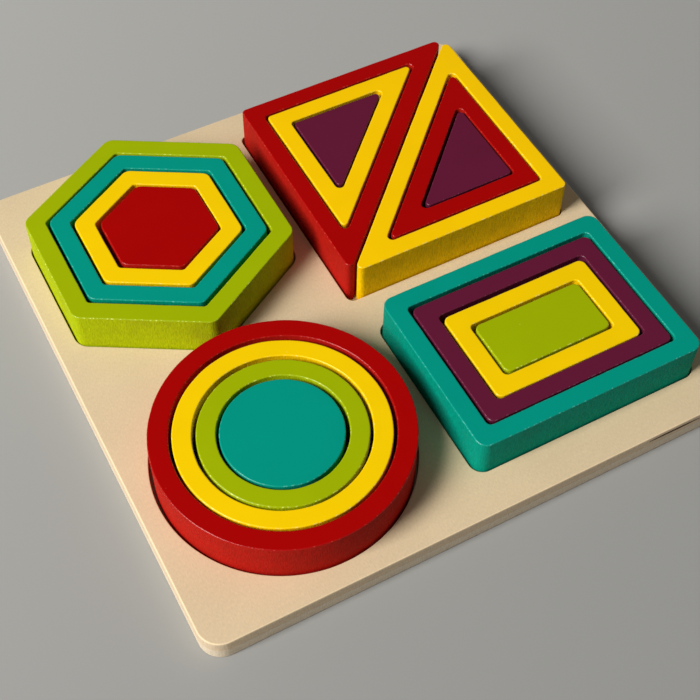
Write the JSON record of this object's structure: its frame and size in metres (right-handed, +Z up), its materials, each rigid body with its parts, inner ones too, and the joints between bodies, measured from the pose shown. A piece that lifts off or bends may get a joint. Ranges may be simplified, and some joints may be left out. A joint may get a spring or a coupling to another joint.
{
  "type": "shape sorting puzzle",
  "caption": "Square plywood board with sockets for a hexagon, a circle, a rectangle and a pair of triangles, each a nest of painted wooden rings round a solid core.",
  "frame": {"origin": "middle of the board's underside, on the surface that it lies on", "axes": "+Z up through the board, +X to the right along its front edge, +Y to its back edge"},
  "size_m": [0.18, 0.18, 0.0225],
  "materials": {
    "plywood": "pale bare plywood, sanded smooth",
    "paint_red": "solid wood with satin red paint",
    "paint_green": "solid wood with satin green paint",
    "paint_teal": "solid wood with satin teal paint",
    "paint_yellow": "solid wood with satin yellow paint",
    "paint_purple": "solid wood with satin purple paint"
  },
  "bodies": {
    "board": {"base_sheet": "plywood", "tray_frame": "plywood"},
    "hexagon_ring_green": {"hexagon_ring_green": "paint_green"},
    "hexagon_ring_teal": {"hexagon_ring_teal": "paint_teal"},
    "hexagon_ring_yellow": {"hexagon_ring_yellow": "paint_yellow"},
    "hexagon_core_red": {"hexagon_core_red": "paint_red"},
    "circle_ring_red": {"circle_ring_red": "paint_red"},
    "circle_ring_yellow": {"circle_ring_yellow": "paint_yellow"},
    "circle_ring_green": {"circle_ring_green": "paint_green"},
    "circle_core_teal": {"circle_core_teal": "paint_teal"},
    "rectangle_ring_teal": {"rectangle_ring_teal": "paint_teal"},
    "rectangle_ring_purple": {"rectangle_ring_purple": "paint_purple"},
    "rectangle_ring_yellow": {"rectangle_ring_yellow": "paint_yellow"},
    "rectangle_core_green": {"rectangle_core_green": "paint_green"},
    "left_triangle_ring_red": {"left_triangle_ring_red": "paint_red"},
    "left_triangle_ring_yellow": {"left_triangle_ring_yellow": "paint_yellow"},
    "left_triangle_core_purple": {"left_triangle_core_purple": "paint_purple"},
    "right_triangle_ring_yellow": {"right_triangle_ring_yellow": "paint_yellow"},
    "right_triangle_ring_red": {"right_triangle_ring_red": "paint_red"},
    "right_triangle_core_purple": {"right_triangle_core_purple": "paint_purple"}
  },
  "joints": [
    {"name": "lift_hexagon_ring_green", "type": "slide", "parent": "board", "child": "hexagon_ring_green", "axis": [0, 0, 1], "range_m": [0, 0.025]},
    {"name": "lift_hexagon_ring_teal", "type": "slide", "parent": "board", "child": "hexagon_ring_teal", "axis": [0, 0, 1], "range_m": [0, 0.025]},
    {"name": "lift_hexagon_ring_yellow", "type": "slide", "parent": "board", "child": "hexagon_ring_yellow", "axis": [0, 0, 1], "range_m": [0, 0.025]},
    {"name": "lift_hexagon_core_red", "type": "slide", "parent": "board", "child": "hexagon_core_red", "axis": [0, 0, 1], "range_m": [0, 0.025]},
    {"name": "lift_circle_ring_red", "type": "slide", "parent": "board", "child": "circle_ring_red", "axis": [0, 0, 1], "range_m": [0, 0.025]},
    {"name": "lift_circle_ring_yellow", "type": "slide", "parent": "board", "child": "circle_ring_yellow", "axis": [0, 0, 1], "range_m": [0, 0.025]},
    {"name": "lift_circle_ring_green", "type": "slide", "parent": "board", "child": "circle_ring_green", "axis": [0, 0, 1], "range_m": [0, 0.025]},
    {"name": "lift_circle_core_teal", "type": "slide", "parent": "board", "child": "circle_core_teal", "axis": [0, 0, 1], "range_m": [0, 0.025]},
    {"name": "lift_rectangle_ring_teal", "type": "slide", "parent": "board", "child": "rectangle_ring_teal", "axis": [0, 0, 1], "range_m": [0, 0.025]},
    {"name": "lift_rectangle_ring_purple", "type": "slide", "parent": "board", "child": "rectangle_ring_purple", "axis": [0, 0, 1], "range_m": [0, 0.025]},
    {"name": "lift_rectangle_ring_yellow", "type": "slide", "parent": "board", "child": "rectangle_ring_yellow", "axis": [0, 0, 1], "range_m": [0, 0.025]},
    {"name": "lift_rectangle_core_green", "type": "slide", "parent": "board", "child": "rectangle_core_green", "axis": [0, 0, 1], "range_m": [0, 0.025]},
    {"name": "lift_left_triangle_ring_red", "type": "slide", "parent": "board", "child": "left_triangle_ring_red", "axis": [0, 0, 1], "range_m": [0, 0.025]},
    {"name": "lift_left_triangle_ring_yellow", "type": "slide", "parent": "board", "child": "left_triangle_ring_yellow", "axis": [0, 0, 1], "range_m": [0, 0.025]},
    {"name": "lift_left_triangle_core_purple", "type": "slide", "parent": "board", "child": "left_triangle_core_purple", "axis": [0, 0, 1], "range_m": [0, 0.025]},
    {"name": "lift_right_triangle_ring_yellow", "type": "slide", "parent": "board", "child": "right_triangle_ring_yellow", "axis": [0, 0, 1], "range_m": [0, 0.025]},
    {"name": "lift_right_triangle_ring_red", "type": "slide", "parent": "board", "child": "right_triangle_ring_red", "axis": [0, 0, 1], "range_m": [0, 0.025]},
    {"name": "lift_right_triangle_core_purple", "type": "slide", "parent": "board", "child": "right_triangle_core_purple", "axis": [0, 0, 1], "range_m": [0, 0.025]}
  ]
}
